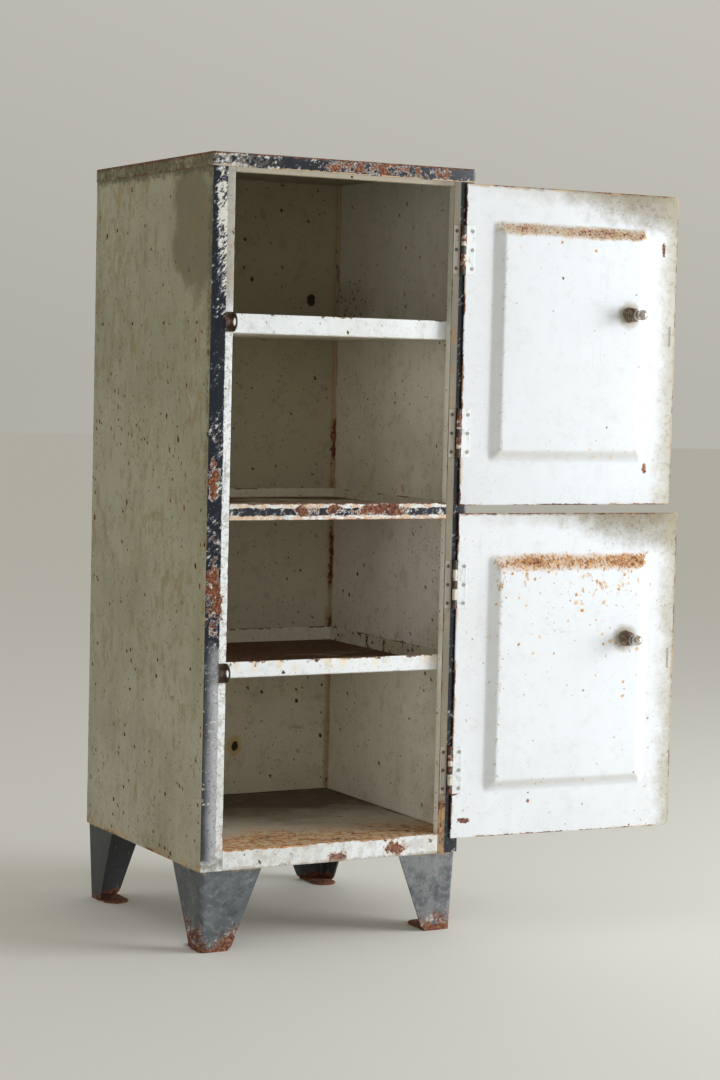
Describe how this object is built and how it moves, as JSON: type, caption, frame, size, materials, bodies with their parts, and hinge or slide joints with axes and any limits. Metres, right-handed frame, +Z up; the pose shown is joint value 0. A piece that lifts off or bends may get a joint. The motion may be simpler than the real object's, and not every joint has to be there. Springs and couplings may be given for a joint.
{
  "type": "pantry cabinet",
  "caption": "Enamelled steel pantry cabinet on pressed legs, with pressed-panel doors that fold flat open, tray shelves, padlock eyes and sprung knobs.",
  "frame": {"origin": "on the floor, under the middle of the cabinet body, at the centre of the four foot bolt holes", "axes": "+Z up, +X to the right seen from the front, front faces -Y; stored with both doors folded back to +X"},
  "size_m": [0.8482, 0.5409, 1.219],
  "materials": {
    "enamel": "old white stove enamel, semi-gloss, with rust chips",
    "shelf_enamel": "worn cream enamel, satin",
    "black_enamel": "black enamel, chipped to white and rust",
    "slate_paint": "slate grey-blue paint with rust at the feet",
    "rusty_steel": "rusty bare steel hardware",
    "worn_chrome": "worn, tarnished plating"
  },
  "bodies": {
    "cabinet": {"left_side": "enamel", "right_side": "enamel", "back_panel": "enamel", "lid": "enamel", "top_rail": "enamel", "mid_rail": "black_enamel", "bottom_pan": "enamel", "upper_shelf": "shelf_enamel", "mid_shelf": "shelf_enamel", "lower_shelf": "shelf_enamel", "front_left_leg": "slate_paint", "front_right_leg": "slate_paint", "rear_left_leg": "slate_paint", "rear_right_leg": "slate_paint", "shelf_rivets": "rusty_steel", "upper_padlock_eye": "rusty_steel", "lower_padlock_eye": "rusty_steel", "eye_rivets": "rusty_steel", "upper_frame_leaf_a": "rusty_steel", "upper_frame_leaf_b": "rusty_steel", "lower_frame_leaf_a": "rusty_steel", "lower_frame_leaf_b": "rusty_steel", "upper_hinge_pin_a": "rusty_steel", "upper_hinge_pin_b": "rusty_steel", "lower_hinge_pin_a": "rusty_steel", "lower_hinge_pin_b": "rusty_steel", "frame_leaf_rivets": "rusty_steel"},
    "upper_door": {"upper_door_skin": "enamel", "upper_door_leaf_a": "enamel", "upper_door_leaf_b": "enamel", "upper_door_leaf_rivets": "enamel", "upper_rose": "worn_chrome", "upper_spring": "rusty_steel"},
    "upper_plunger": {"upper_spindle": "worn_chrome", "upper_spring_cup": "worn_chrome", "upper_ball_nut": "worn_chrome"},
    "upper_knob_body": {"upper_knob": "worn_chrome"},
    "lower_door": {"lower_door_skin": "enamel", "lower_door_leaf_a": "enamel", "lower_door_leaf_b": "enamel", "lower_door_leaf_rivets": "enamel", "lower_rose": "worn_chrome", "lower_spring": "rusty_steel"},
    "lower_plunger": {"lower_spindle": "worn_chrome", "lower_spring_cup": "worn_chrome", "lower_ball_nut": "worn_chrome"},
    "lower_knob_body": {"lower_knob": "worn_chrome"}
  },
  "joints": [
    {"name": "upper_door_hinge", "type": "hinge", "parent": "cabinet", "child": "upper_door", "pos_m": [0.2075, -0.2326, 0.94], "axis": [0, 0, 1], "range_deg": [-179.5, 0.5]},
    {"name": "upper_knob_pull", "type": "slide", "parent": "upper_door", "child": "upper_plunger", "axis": [0.0087, 1, 0], "range_m": [0, 0.008], "deforming": ["upper_spring"]},
    {"name": "upper_knob_turn", "type": "hinge", "parent": "upper_plunger", "child": "upper_knob_body", "pos_m": [0.51954, -0.22942, 0.998], "axis": [0.0087, 1, 0], "continuous": true},
    {"name": "lower_door_hinge", "type": "hinge", "parent": "cabinet", "child": "lower_door", "pos_m": [0.2075, -0.2326, 0.41], "axis": [0, 0, 1], "range_deg": [-176, 4]},
    {"name": "lower_knob_pull", "type": "slide", "parent": "lower_door", "child": "lower_plunger", "axis": [0.0698, 0.9976, 0], "range_m": [0, 0.008], "deforming": ["lower_spring"]},
    {"name": "lower_knob_turn", "type": "hinge", "parent": "lower_plunger", "child": "lower_knob_body", "pos_m": [0.51915, -0.24848, 0.468], "axis": [0.0698, 0.9976, 0], "continuous": true}
  ]
}
